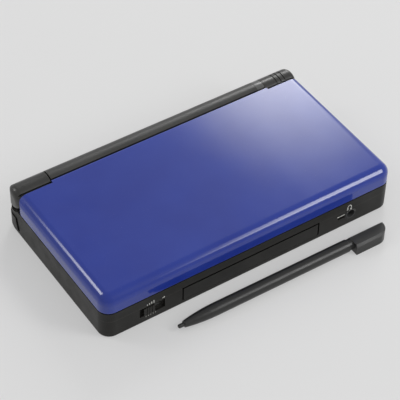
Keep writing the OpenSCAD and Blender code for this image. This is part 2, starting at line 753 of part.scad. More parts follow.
module volume_slider() {
    x0 = volume_x0 + 1.9;
    color([0.16, 0.16, 0.16]) union() {
        difference() {
            block([x0, front_y - 0.15, volume_z0 + 0.3],
                [x0 + volume_knob, front_y + wall - 0.5, volume_z1 - 0.8]);
            for (i = [0 : 2]) translate([x0 + volume_knob / 2 + (i - 1) * 1.1 - 0.2, front_y - 1, volume_z0])
                cube([0.4, 1.2, 9]);
        }
        block([x0 + 1.4, front_y + wall - 0.6, 4.9], [x0 + volume_knob - 1.4, front_y + wall + 0.8, 6.5]);
    }
}

module volume_control() {
    color([0.6, 0.6, 0.58]) difference() {
        block([volume_x0 - 0.6, front_y + wall + 0.1, volume_z0],
            [volume_x0 + volume_l + 0.6, front_y + 6.4, board_z]);
        block([volume_x0 + 0.6, front_y + wall - 1, 4.7],
            [volume_x0 + volume_l - 0.6, front_y + wall + 1.2, 6.7]);
    }
}

module power_switch() {
    color([0.16, 0.16, 0.16]) union() {
        difference() {
            block([half_w - wall + 0.5, power_y - power_l / 2 + 0.3, 4.6],
                [half_w + 0.2, power_y - power_l / 2 + 0.3 + power_knob, 7.2]);
            for (i = [0 : 2]) translate([half_w - 0.05, power_y - power_l / 2 + 2.2 + i * 1.1, 4])
                cube([1, 0.4, 9]);
        }
        block([half_w - wall - 0.8, power_y - power_l / 2 + 1.8, 5.2],
            [half_w - wall + 0.6, power_y - power_l / 2 + 4.2, 6.5]);
    }
}

module power_switch_body() {
    color([0.6, 0.6, 0.58]) difference() {
        block([half_w - 7, power_y - power_l / 2 - 0.8, 3.6],
            [half_w - wall - 0.1, power_y + power_l / 2 + 0.8, board_z]);
        block([half_w - wall - 1.2, power_y - power_l / 2 + 0.8, 5],
            [half_w, power_y + power_l / 2 - 0.2, 6.7]);
    }
}

// ---- Shoulder buttons, drawn on the right ----

// Plan of the right back corner between the outline set out by d0 and the outline set in by d1
module corner_plan(d0, d1, x0, y0) {
    intersection() {
        difference() {
            outline(-d0);
            outline(d1);
        }
        translate([x0, y0]) square([body_w, body_d]);
    }
}

// Slanted cut in front of a shoulder button, its lower end further forward, moved by d
module slant_cut(d, x0) {
    translate([x0, 0, 0]) rotate([90, 0, 90]) linear_extrude(body_w) polygon([
        [0, shoulder_z0 - 1],
        [shoulder_y - shoulder_slant + d - 0.25, shoulder_z0 - 1],
        [shoulder_y + d + 0.25, seam_z + 1],
        [0, seam_z + 1]
    ]);
}

module shoulder_shape() {
    z0 = shoulder_z0 + 0.15;
    z1 = seam_z - 0.3;
    difference() {
        union() {
            difference() {
                translate([0, 0, z0]) linear_extrude(z1 - z0)
                    corner_plan(shoulder_bulge, shoulder_t, shoulder_x + 0.2, hinge_y - 9);
                slant_cut(0, half_w - 8);
            }
            translate([pin_x, pin_y, z0]) cylinder(r = 1.7, h = z1 - z0);
            // Ribs that stiffen the corner and press on the contact
            intersection() {
                translate([0, 0, z0 + 2.2]) linear_extrude(1.2)
                    corner_plan(0, back_r - 1, shoulder_x + 2, hinge_y);
                block([shoulder_x + 2, hinge_y, 0], [half_w - 0.5, rear_y - 0.5, seam_z]);
            }
        }
        translate([pin_x, pin_y, 0]) cylinder(r = shoulder_pin_r + run_gap, h = 20);
    }
}

module right_shoulder_button() {
    color([0.14, 0.14, 0.14]) shoulder_shape();
}

module left_shoulder_button() {
    color([0.14, 0.14, 0.14]) mirror([1, 0, 0]) shoulder_shape();
}

module shoulder_pins() {
    color([0.7, 0.7, 0.72]) for (s = [-1, 1]) translate([s * pin_x, pin_y, floor_t])
        cylinder(r = shoulder_pin_r, h = seam_z - floor_t);
}

module shoulder_springs() {
    color([0.6, 0.6, 0.62]) for (s = [-1, 1]) translate([s * pin_x, pin_y, floor_t]) union() {
        ring(1.35, shoulder_pin_r + 0.1, shoulder_z0 - floor_t - 0.05);
        translate([s > 0 ? 0 : -4, -1.35, 0]) cube([4, 0.4, shoulder_z0 - floor_t - 0.05]);
    }
}

module shoulder_contacts() {
    color([0.5, 0.5, 0.5]) for (s = [-1, 1])
        translate([s * (half_w - 9) - 2, hinge_y - 4.2, floor_t]) cube([4, 2.4, 4.2]);
}

// ---- Front edge ----

module cartridge_cover() {
    color([0.13, 0.13, 0.13]) difference() {
        union() {
            block([cover_x0, front_y, cover_z0], [cover_x1, front_y + wall - 0.2, cover_z1]);
            block([cover_x0 + 0.5, front_y + wall - 0.3, cover_z0 + 0.1],
                [cover_x1 - 0.5, front_y + 10.5, cover_z1 - 0.2]);
            // Snap ribs
            for (x = [cover_x0 + 0.2, cover_x1 - 1.2])
                block([x, front_y + 5, cover_z0 + 1.5], [x + 1, front_y + 7, cover_z1 - 1.5]);
        }
        block([cover_x0 + 1.5, front_y + wall + 0.9, cover_z0 + 1.1],
            [cover_x1 - 1.5, front_y + 11, cover_z1 - 1.2]);
        // Finger groove under the lower edge
        block([-8, front_y - 1, cover_z0 - 1], [8, front_y + 0.5, cover_z0 + 0.5]);
    }
}

module cartridge_shield() {
    color([0.65, 0.66, 0.67]) difference() {
        block([cover_x0 - cover_gap - 0.4, front_y + wall + 0.3, platform_z],
            [cover_x1 + cover_gap + 0.4, front_y + bay_d, shield_z + 0.4]);
        block([cover_x0 - cover_gap, front_y, platform_z - 1],
            [cover_x1 + cover_gap, front_y + bay_d + 1, shield_z]);
        for (x = [-24 : 12 : 24]) translate([x, front_y + 8, shield_z - 1]) cylinder(r = 1.5, h = 3);
    }
}

module cartridge_connector() {
    y0 = front_y + bay_d - 0.2;
    color([0.1, 0.1, 0.1]) union() {
        difference() {
            block([cover_x0 + 2, y0, platform_z], [cover_x1 - 2, y0 + 4, board_z]);
            block([cover_x0 + 3.5, y0 - 1, platform_z + 1], [cover_x1 - 3.5, y0 + 2.6, board_z - 1]);
        }
        for (i = [0 : 31])
            translate([cover_x0 + 5 + i * (cover_x1 - cover_x0 - 10.5) / 31, y0 + 0.4, platform_z + 1 - e])
                cube([0.5, 2.3, 1]);
    }
}

module headphone_socket() {
    y0 = front_y;
    color([0.1, 0.1, 0.1]) difference() {
        union() {
            block([jack_x - 7.4, front_y + wall + 0.1, 2.6], [jack_x + 3.9, front_y + jack_l + 1.5, board_z]);
            translate([jack_x, y0, jack_z]) rotate([-90, 0, 0]) cylinder(r = 2.6, h = 3);
        }
        translate([jack_x, y0 - 1, jack_z]) rotate([-90, 0, 0]) cylinder(r = jack_r, h = jack_l + 1);
        block([jack_x - 6.3, y0, jack_z - 0.6], [jack_x - 3, front_y + 9, jack_z + 0.6]);
    }
}

// ---- Base, lower half ----

module base_lower_case() {
    color([0.17, 0.17, 0.17]) difference() {
        union() {
            difference() {
                translate([0, 0, seam_z]) mirror([0, 0, 1])
                    soft_slab(body_w, front_y, rear_y, front_r, back_r, seam_z, base_edge_r);
                translate([0, 0, floor_t]) linear_extrude(seam_z) outline(wall);
            }
            // Raised floor of the cartridge bay
            block([cover_x0 - cover_gap - 0.5, front_y + wall - 0.5, floor_t - 0.5],
                [cover_x1 + cover_gap + 0.5, front_y + bay_d + 4, platform_z]);
            // Battery bay
            block([bay_x0 - battery_wall, bay_y0 - battery_wall, floor_t - 0.5],
                [bay_x1 + battery_wall, bay_y1 + battery_wall, board_z]);
            for (p = screws) translate([p.x, p.y, floor_t - 0.5])
                cylinder(r = boss_r, h = seam_z - floor_t + 0.5);
            translate([battery_screw_x, bay_y0 - 3.4, floor_t - 0.5]) cylinder(r = 2.2, h = 4.5);
            // Strap pocket
            block([strap_x - strap_w / 2 - 0.8, rear_y - 4.8, floor_t - 0.5],
                [strap_x + strap_w / 2 + 0.8, rear_y - wall + 0.5, seam_z]);
        }
        // Cartridge slot
        block([cover_x0 - cover_gap, front_y - 1, platform_z],
            [cover_x1 + cover_gap, front_y + wall + 0.3, seam_z + 1]);
        // Volume recess and the slot of its stem
        block([volume_x0, front_y - 1, volume_z0], [volume_x0 + volume_l, front_y + wall - 0.4, volume_z1]);
        block([volume_x0 + 0.8, front_y, 4.7], [volume_x0 + volume_l - 0.8, front_y + wall + 1, 6.7]);
        // Headphone socket
        translate([jack_x, front_y - 1, jack_z]) rotate([-90, 0, 0])
            cylinder(r = 2.6 + fit_gap, h = wall + 2);
        block([jack_x - 6.3, front_y - 1, jack_z - 0.6], [jack_x - 3, front_y + wall + 1, jack_z + 0.6]);
        // Shoulder buttons
        for (m = [0, 1]) mirror([m, 0, 0]) difference() {
            translate([0, 0, shoulder_z0]) linear_extrude(seam_z)
                corner_plan(1, wall + 1.5, shoulder_x, hinge_y - 9);
            slant_cut(-shoulder_gap, half_w - 8);
        }
        // Power switch recess and the slot of its stem
        block([half_w - wall + 0.4, power_y - power_l / 2, 4.2], [half_w + 1, power_y + power_l / 2, 7.6]);
        block([half_w - wall - 1, power_y - power_l / 2 + 1.2, 5],
            [half_w, power_y + power_l / 2 - 0.6, 6.7]);
        // Housing of the stylus's cap
        block([pocket_x - 1, housing_y0 - 0.2, silo_z - 3.6], [half_w + 1, housing_y1 + 0.15, seam_z + 1]);
        // Game card slot, power socket and strap pocket at the back
        block([-card_x1, rear_y - wall - 1, floor_t + 0.1], [card_x1, rear_y + 1, floor_t + 0.1 + card_h]);
        block([power_socket_x - power_socket_w / 2, rear_y - wall - 1, 3],
            [power_socket_x + power_socket_w / 2, rear_y + 1, 6.5]);
        block([strap_x - strap_w / 2, rear_y - 4, 2.4], [strap_x + strap_w / 2, rear_y + 1, seam_z + 1]);
        // Battery bay, open below, and the seat of its cover's tongue
        block([bay_x0, bay_y0, -1], [bay_x1, bay_y1, battery_h + floor_t + 0.1]);
        block([battery_screw_x - 3.1, bay_y0 - 6, -1], [battery_screw_x + 3.1, bay_y0 + 1, floor_t - 0.4]);
        translate([battery_screw_x, bay_y0 - 3.4, 0]) cylinder(r = screw_r + 0.02, h = 4.6);
        // Case screws and their rubber feet
        for (p = screws) translate([p.x, p.y, -1]) {
            cylinder(r = screw_r + 0.02, h = seam_z + 2);
            cylinder(r = screw_head_r + 0.25, h = 3.1);
        }
    }
}

module card_socket() {
    y1 = rear_y - wall - 0.1;
    y0 = rear_y - card_d;
    x1 = card_x1 + 1.4;
    roof = floor_t + 0.1 + card_h;
    color([0.12, 0.12, 0.12]) union() {
        for (s = [-1, 1]) translate([s * (card_x1 + 0.7) - 0.7, y0, floor_t])
            cube([1.4, y1 - y0, card_h + 0.1]);
        block([-x1, y0 - 1.6, floor_t], [x1, y0, roof]);
        block([-x1, y0 - 1.6, roof - e], [x1, silo_y - silo_r - silo_t - 0.4, roof + 0.8]);
        // Contacts
        for (i = [0 : 16]) translate([-card_x1 + 2 + i * (card_w - 4.6) / 16, y0 - e, roof - 0.08])
            cube([0.6, 4, 0.3]);
    }
}

module power_socket() {
    color([0.2, 0.2, 0.2]) difference() {
        block([power_socket_x - power_socket_w / 2 - 0.8, hinge_y - 2.4, 2.5],
            [power_socket_x + power_socket_w / 2 + 0.8, rear_y - wall - 0.1, board_z]);
        block([power_socket_x - power_socket_w / 2 + 0.2, hinge_y, 3.2],
            [power_socket_x + power_socket_w / 2 - 0.2, rear_y, 6.3]);
    }
}

module strap_bar() {
    color([0.6, 0.6, 0.62]) translate([strap_x, rear_y - 1.3, 2.4]) cylinder(r = 0.8, h = seam_z - 2.4);
}

module main_board() {
    y1 = bay_y1 + battery_wall;
    color([0.1, 0.3, 0.2]) difference() {
        union() {
            block([-half_w + 2.1, front_y + bay_d + 0.75, board_z], [half_w - 2.1, y1, board_top_z]);
            block([-half_w + 2.1, front_y + 4.2, board_z],
                [cover_x0 - cover_gap - 0.8, front_y + bay_d + 1, board_top_z]);
            block([cover_x1 + cover_gap + 0.8, front_y + 4.2, board_z],
                [half_w - 2.1, front_y + bay_d + 1, board_top_z]);
            block([-half_w + 5, y1 - 1, board_z], [-33, silo_y + 1.6, board_top_z]);
        }
        for (p = screws) translate([p.x, p.y, 0]) cylinder(r = boss_r + 0.3, h = 20);
        block([pocket_x - 1.2, housing_y0 - 0.4, board_z - 1], [half_w, rear_y, board_top_z + 1]);
    }
}

module board_chips() {
    color([0.08, 0.08, 0.08]) union() {
        block([-20, -6, board_top_z], [-7, 7, board_top_z + 0.8]);
        block([2, -6, board_top_z], [12, 2, board_top_z + 0.7]);
        block([-30, -9, board_z - 1.2], [-22, -3, board_z]);
        block([-8, -4, board_z - 1.1], [8, 4, board_z]);
        block([42, -34, board_top_z], [48, -29, board_top_z + 0.9]);
    }
}

module wireless_module() {
    color([0.6, 0.62, 0.63]) union() {
        block([-half_w + 10.5, -8, board_z - 1.2], [-half_w + 30.5, 11, board_z]);
        block([-half_w + 12, -6.5, board_z - 2.8], [-half_w + 29, 6, board_z - 1.2]);
    }
}

module battery() {
    color([0.2, 0.25, 0.3]) translate([battery_x0, battery_y0, floor_t])
        cube([battery_w, battery_d, battery_h]);
}

module battery_cover() {
    color([0.17, 0.17, 0.17]) difference() {
        union() {
            block([bay_x0 + fit_gap, bay_y0 + fit_gap, 0], [bay_x1 - fit_gap, bay_y1 - fit_gap, cover_t]);
            block([battery_screw_x - 3, bay_y0 - 5.9, 0], [battery_screw_x + 3, bay_y0 + 1, floor_t - 0.5]);
        }
        translate([battery_screw_x, bay_y0 - 3.4, -1]) {
            cylinder(r = screw_head_r + fit_gap, h = 1.7);
            cylinder(r = screw_r + fit_gap, h = 5);
        }
    }
}

module battery_screw() {
    color([0.6, 0.6, 0.6]) translate([battery_screw_x, bay_y0 - 3.4, 0.05]) difference() {
        union() {
            cylinder(r = screw_head_r, h = 0.6);
            cylinder(r = screw_r, h = 4.2);
        }
        translate([-1.2, -0.15, -e]) cube([2.4, 0.3, 0.3]);
        translate([-0.15, -1.2, -e]) cube([0.3, 2.4, 0.3]);
    }
}

module case_screws() {
    color([0.6, 0.6, 0.6]) for (p = screws) translate([p.x, p.y, 1]) union() {
        cylinder(r = screw_head_r, h = 1.1);
        cylinder(r = screw_r, h = 8.9);
    }
}

module rubber_feet() {
    color([0.09, 0.09, 0.09]) for (p = screws) translate([p.x, p.y, 0])
        cylinder(r = screw_head_r + 0.2, h = 1);
}

// ---- Stylus ----

module stylus() {
    r = stylus_d / 2;
    color([0.16, 0.16, 0.17]) translate([stylus_x, stylus_y, r]) rotate([0, 0, stylus_turn]) union() {
        rotate([0, 90, 0]) rotate_extrude() polygon([
            [0, 0],
            [0.5, 0],
            [0.8, 0.3],
            [0.85, 2.4],
            [r - 1.25, 2.5],
            [r - 1, 3.9],
            [r - 0.55, 7.1],
            [r - 0.25, 10.3],
            [r - 0.06, 13.5],
            [r, 16.7],
            [r, stylus_shaft - 2],
            [r - 0.3, stylus_shaft - 1.8],
            [r - 0.3, stylus_shaft + 0.5],
            [0, stylus_shaft + 0.5]
        ]);
        intersection() {
            translate([stylus_shaft, -cap_side, -r]) linear_extrude(cap_h) difference() {
                square([stylus_cap, stylus_cap_w]);
                translate([stylus_cap - 5, 0]) difference() {
                    translate([0, -1]) square([6, 6]);
                    translate([0, 5]) circle(r = 5);
                }
            }
            translate([stylus_shaft - 1, 0, 0]) rotate([90, 0, 90]) linear_extrude(stylus_cap + 2) polygon([
                [-cap_side, -r],
                [stylus_cap_w - cap_side, -r],
                [stylus_cap_w - cap_side, cap_h - r - 0.9],
                [stylus_cap_w - cap_side - 0.9, cap_h - r],
                [-cap_side + 0.9, cap_h - r],
                [-cap_side + 0.1, cap_h - r - 0.9]
            ]);
        }
    }
}

lid_outer_shell();
lid_inner_case();
upper_screen_lens();
upper_display();
upper_display_holder();
left_speaker();
right_speaker();
lid_bumpers();
lid_screws();
hinge_sleeve();
hinge_cartridge();
hinge_light_window();
status_lights();
microphone();
display_ribbon_cable();
base_upper_case();
base_lower_case();
touch_panel();
lower_display();
lower_display_holder();
direction_pad();
pad_pivot();
pad_membrane();
key_right();
key_bottom();
key_top();
key_left();
start_button();
select_button();
key_membrane();
volume_slider();
volume_control();
power_switch();
power_switch_body();
left_shoulder_button();
right_shoulder_button();
shoulder_pins();
shoulder_springs();
shoulder_contacts();
cartridge_cover();
cartridge_shield();
cartridge_connector();
card_socket();
headphone_socket();
power_socket();
strap_bar();
main_board();
board_chips();
wireless_module();
battery();
battery_cover();
battery_screw();
case_screws();
rubber_feet();
stylus();
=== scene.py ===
import json
import math
import bmesh
import bpy
from mathutils import Matrix, Vector


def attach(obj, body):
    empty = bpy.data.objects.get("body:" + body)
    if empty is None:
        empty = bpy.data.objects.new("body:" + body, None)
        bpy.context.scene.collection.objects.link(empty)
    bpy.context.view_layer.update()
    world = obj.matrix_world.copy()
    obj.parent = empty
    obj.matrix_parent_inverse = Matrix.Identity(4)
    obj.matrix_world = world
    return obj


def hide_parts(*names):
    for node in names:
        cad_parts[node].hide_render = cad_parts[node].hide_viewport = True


# Closed clamshell console with a glossy blue lid, its stylus lying in front of it.
# Metres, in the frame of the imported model: X right, Y towards the hinge, Z up, table at z 0.

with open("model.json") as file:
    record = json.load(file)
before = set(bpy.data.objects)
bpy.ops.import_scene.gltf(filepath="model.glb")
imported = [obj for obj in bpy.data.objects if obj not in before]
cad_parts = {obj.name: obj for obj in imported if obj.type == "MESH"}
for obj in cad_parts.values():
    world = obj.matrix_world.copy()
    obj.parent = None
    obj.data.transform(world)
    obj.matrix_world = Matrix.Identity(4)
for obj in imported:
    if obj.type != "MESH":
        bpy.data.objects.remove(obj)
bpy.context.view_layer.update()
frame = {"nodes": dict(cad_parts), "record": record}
cadNodes = frame["nodes"]
slotOf = {part["node"]: part["material_slot"] for part in frame["record"]["subparts"]}
bodyOf = {name: body for body, names in frame["record"]["behaviour"]["bodies"].items() for name in names}
mm = 0.001
print("frame loaded:", len(cadNodes), "nodes")

# Camera, at the photograph's angle
cameraSetup = {
    "target": (-1.73, -2.395, 10.0),  # mm
    "distance": 643.42,
    "azimuth": -34.591,  # degrees
    "elevation": 44.996,
    "roll": 1.508,
    "lens": 147.498,
    "sensor": 36.0,
    "clipStart": 0.01,  # m
}


def buildCamera(cfg):
    a = math.radians(cfg["azimuth"])
    e = math.radians(cfg["elevation"])
    back = Vector((math.sin(a) * math.cos(e), -math.cos(a) * math.cos(e), math.sin(e)))
    turn = back.to_track_quat("Z", "Y").to_matrix() @ Matrix.Rotation(math.radians(cfg["roll"]), 3, "Z")
    camera = bpy.data.cameras.new("camera")
    camera.lens = cfg["lens"]
    camera.sensor_fit = "HORIZONTAL"
    camera.sensor_width = cfg["sensor"]
    camera.clip_start = cfg["clipStart"]
    rig = bpy.data.objects.new("camera", camera)
    bpy.context.scene.collection.objects.link(rig)
    rig.matrix_world = Matrix.Translation((Vector(cfg["target"]) + back * cfg["distance"]) * mm) @ turn.to_4x4()
    bpy.context.scene.camera = rig


buildCamera(cameraSetup)


# Material helpers
def node(tree, kind, **values):
    made = tree.nodes.new(kind)
    for key, value in values.items():
        setattr(made, key, value)
    return made


def startMaterial(name):
    mat = bpy.data.materials.new(name)
    mat.use_nodes = True
    tree = mat.node_tree
    tree.nodes.clear()
    shader = node(tree, "ShaderNodeBsdfPrincipled")
    out = node(tree, "ShaderNodeOutputMaterial")
    tree.links.new(shader.outputs["BSDF"], out.inputs["Surface"])
    return mat, tree, shader


def objectNoise(tree, scale, detail=2.0, roughness=0.5, stretch=(1, 1, 1)):
    coords = node(tree, "ShaderNodeTexCoord")
    mapping = node(tree, "ShaderNodeMapping")
    mapping.inputs["Scale"].default_value = stretch
    noise = node(tree, "ShaderNodeTexNoise")
    noise.inputs["Scale"].default_value = scale
    noise.inputs["Detail"].default_value = detail
    noise.inputs["Roughness"].default_value = roughness
    tree.links.new(coords.outputs["Object"], mapping.inputs["Vector"])
    tree.links.new(mapping.outputs["Vector"], noise.inputs["Vector"])
    return noise.outputs["Fac"]


def remap(tree, value, low, high, outLow, outHigh):
    rng = node(tree, "ShaderNodeMapRange", clamp=True)
    rng.inputs["From Min"].default_value = low
    rng.inputs["From Max"].default_value = high
    rng.inputs["To Min"].default_value = outLow
    rng.inputs["To Max"].default_value = outHigh
    tree.links.new(value, rng.inputs["Value"])
    return rng.outputs["Result"]


def mixColour(tree, factor, first, second):
    mix = node(tree, "ShaderNodeMix", data_type="RGBA")
    for socket, colour in ((mix.inputs[6], first), (mix.inputs[7], second)):
        if isinstance(colour, bpy.types.NodeSocket):
            tree.links.new(colour, socket)
        else:
            socket.default_value = (*colour, 1.0)
    tree.links.new(factor, mix.inputs[0])
    return mix.outputs[2]


def addBump(tree, height, strength, distance, shader, socket="Normal"):
    bump = node(tree, "ShaderNodeBump")
    bump.inputs["Strength"].default_value = strength
    bump.inputs["Distance"].default_value = distance
    tree.links.new(height, bump.inputs["Height"])
    tree.links.new(bump.outputs["Normal"], shader.inputs[socket])


def cloudMix(tree, cloud, dark, light):
    # Slow drift between two near colours
    return mixColour(tree, remap(tree, cloud, 0.35, 0.65, 0, 1), dark, light)


def edgeMask(tree, radius, low=0.9, high=0.99):
    # 1 on outer edges and 0 on flat faces, by how far a rounded normal leans from the true one
    soft = node(tree, "ShaderNodeBevel", samples=4)
    soft.inputs["Radius"].default_value = radius
    geo = node(tree, "ShaderNodeNewGeometry")
    dot = node(tree, "ShaderNodeVectorMath", operation="DOT_PRODUCT")
    tree.links.new(soft.outputs["Normal"], dot.inputs[0])
    tree.links.new(geo.outputs["Normal"], dot.inputs[1])
    return remap(tree, dot.outputs["Value"], low, high, 1.0, 0.0)


def srgb(red, green, blue):
    # Linear colour from the usual 0 to 255 values
    def one(c):
        c /= 255
        return c / 12.92 if c <= 0.04045 else ((c + 0.055) / 1.055) ** 2.4

    return (one(red), one(green), one(blue))


# Finishes
lidPaint = {
    "deep": srgb(22, 46, 142),
    "light": srgb(30, 55, 152),
    "worn": srgb(60, 76, 160),
    "dust": srgb(120, 130, 185),
    "roughness": (0.3, 0.5),
    "specular": 0.12,
    "coatRoughness": 0.05,
    "coatIor": 1.5,
    "smudgeScale": 70,
    "wornEdge": 0.0006,  # m
}


def paintedLid(cfg):
    mat, tree, shader = startMaterial("blue_lid_paint")
    cloud = objectNoise(tree, 28, 3)
    smudge = objectNoise(tree, cfg["smudgeScale"], 5, 0.62, (1.0, 0.7, 1.0))
    peel = objectNoise(tree, 900, 1)
    dust = objectNoise(tree, 2600, 1)
    specks = remap(tree, dust, 0.74, 0.8, 0.0, 0.35)
    paint = cloudMix(tree, cloud, cfg["deep"], cfg["light"])
    worn = mixColour(tree, edgeMask(tree, cfg["wornEdge"]), paint, cfg["worn"])
    tree.links.new(mixColour(tree, specks, worn, cfg["dust"]), shader.inputs["Base Color"])
    tree.links.new(remap(tree, smudge, 0.35, 0.7, *cfg["roughness"]), shader.inputs["Roughness"])
    shader.inputs["Coat Roughness"].default_value = cfg["coatRoughness"]
    shader.inputs["Coat Weight"].default_value = 1.0
    shader.inputs["Coat IOR"].default_value = cfg["coatIor"]
    shader.inputs["Specular IOR Level"].default_value = cfg["specular"]
    addBump(tree, peel, 0.04, 0.00004, shader, "Coat Normal")
    return mat


def mouldedPlastic(name, dark, light, roughness=(0.42, 0.58), grain=0.12, specular=0.5, wear=None):
    mat, tree, shader = startMaterial(name)
    cloud = objectNoise(tree, 60, 3)
    fine = objectNoise(tree, 5200, 2, 0.6)
    handled = objectNoise(tree, 150, 4, 0.6)
    colour = cloudMix(tree, cloud, dark, light)
    if wear:
        colour = mixColour(tree, edgeMask(tree, 0.00035), colour, wear)
    tree.links.new(colour, shader.inputs["Base Color"])
    tree.links.new(remap(tree, handled, 0.35, 0.65, *roughness), shader.inputs["Roughness"])
    shader.inputs["Specular IOR Level"].default_value = specular
    addBump(tree, fine, grain, 0.00003, shader)
    return mat


def softRubber(name, dark, light):
    mat, tree, shader = startMaterial(name)
    fine = objectNoise(tree, 3000, 3, 0.7)
    cloud = objectNoise(tree, 220, 3)
    tree.links.new(cloudMix(tree, cloud, dark, light), shader.inputs["Base Color"])
    tree.links.new(remap(tree, fine, 0.3, 0.7, 0.65, 0.85), shader.inputs["Roughness"])
    shader.inputs["Specular IOR Level"].default_value = 0.35
    addBump(tree, fine, 0.25, 0.00004, shader)
    return mat


def brushedMetal(name, dark, light, roughness=(0.22, 0.4), stretch=(1, 14, 1)):
    mat, tree, shader = startMaterial(name)
    lines = objectNoise(tree, 700, 3, 0.6, stretch)
    spots = objectNoise(tree, 320, 3)
    tree.links.new(cloudMix(tree, spots, dark, light), shader.inputs["Base Color"])
    tree.links.new(remap(tree, lines, 0.3, 0.7, *roughness), shader.inputs["Roughness"])
    shader.inputs["Metallic"].default_value = 1.0
    addBump(tree, lines, 0.08, 0.00002, shader)
    return mat


def clearGlass(name, tint, roughness=0.04):
    mat, tree, shader = startMaterial(name)
    smear = objectNoise(tree, 90, 4, 0.6)
    paler = tuple(min(1, c * 1.25 + 0.004) for c in tint)
    tree.links.new(mixColour(tree, smear, tint, paler), shader.inputs["Base Color"])
    tree.links.new(remap(tree, smear, 0.4, 0.7, roughness, roughness + 0.08), shader.inputs["Roughness"])
    shader.inputs["Coat Weight"].default_value = 0.6
    shader.inputs["Coat Roughness"].default_value = 0.03
    return mat


def displayGlass():
    # Dark panel with the faint grid of its dots
    mat, tree, shader = startMaterial("display_panel")
    coords = node(tree, "ShaderNodeTexCoord")
    grid = node(tree, "ShaderNodeTexBrick")
    grid.offset = 0.0
    grid.inputs["Scale"].default_value = 1000  # bricks in mm
    grid.inputs["Mortar Size"].default_value = 0.03
    grid.inputs["Brick Width"].default_value = 0.244
    grid.inputs["Row Height"].default_value = 0.244
    grid.inputs["Color1"].default_value = (*srgb(44, 50, 54), 1)
    grid.inputs["Color2"].default_value = (*srgb(47, 53, 58), 1)
    grid.inputs["Mortar"].default_value = (*srgb(24, 27, 30), 1)
    tree.links.new(coords.outputs["Object"], grid.inputs["Vector"])
    cloud = objectNoise(tree, 30, 2)
    haze = remap(tree, cloud, 0.3, 0.7, 0, 0.3)
    tree.links.new(mixColour(tree, haze, grid.outputs["Color"], srgb(60, 66, 70)), shader.inputs["Base Color"])
    tree.links.new(remap(tree, cloud, 0.3, 0.7, 0.12, 0.2), shader.inputs["Roughness"])
    return mat


def boardGreen():
    mat, tree, shader = startMaterial("board_green")
    coords = node(tree, "ShaderNodeTexCoord")
    tracks = node(tree, "ShaderNodeTexBrick")
    tracks.inputs["Scale"].default_value = 420
    tracks.inputs["Mortar Size"].default_value = 0.05
    tracks.inputs["Brick Width"].default_value = 1.6
    tracks.inputs["Row Height"].default_value = 0.5
    tracks.inputs["Color1"].default_value = (*srgb(22, 84, 54), 1)
    tracks.inputs["Color2"].default_value = (*srgb(26, 92, 60), 1)
    tracks.inputs["Mortar"].default_value = (*srgb(44, 118, 76), 1)
    tree.links.new(coords.outputs["Object"], tracks.inputs["Vector"])
    fine = objectNoise(tree, 900, 2)
    pads = remap(tree, objectNoise(tree, 480, 0), 0.7, 0.72, 0, 0.8)
    tree.links.new(mixColour(tree, pads, tracks.outputs["Color"], srgb(186, 170, 120)), shader.inputs["Base Color"])
    tree.links.new(remap(tree, fine, 0.3, 0.7, 0.3, 0.45), shader.inputs["Roughness"])
    addBump(tree, tracks.outputs["Fac"], 0.3, 0.00003, shader)
    return mat


def frostedWindow():
    mat, tree, shader = startMaterial("frosted_window")
    cloud = objectNoise(tree, 500, 2)
    tree.links.new(mixColour(tree, cloud, srgb(96, 96, 96), srgb(108, 108, 107)), shader.inputs["Base Color"])
    tree.links.new(remap(tree, cloud, 0.3, 0.7, 0.3, 0.4), shader.inputs["Roughness"])
    shader.inputs["Transmission Weight"].default_value = 0.35
    shader.inputs["Coat Weight"].default_value = 0.3
    shader.inputs["Coat Roughness"].default_value = 0.1
    return mat


def printedWrap():
    # Battery in a plastic wrap with a plain lighter band
    mat, tree, shader = startMaterial("battery_wrap")
    coords = node(tree, "ShaderNodeTexCoord")
    split = node(tree, "ShaderNodeSeparateXYZ")
    tree.links.new(coords.outputs["Object"], split.inputs["Vector"])
    band = remap(tree, split.outputs["X"], 0.044, 0.0442, 0, 1)  # m
    cloud = objectNoise(tree, 120, 3)
    tree.links.new(mixColour(tree, band, srgb(58, 66, 78), srgb(92, 98, 106)), shader.inputs["Base Color"])
    tree.links.new(remap(tree, cloud, 0.3, 0.7, 0.28, 0.42), shader.inputs["Roughness"])
    addBump(tree, cloud, 0.2, 0.0001, shader)
    return mat


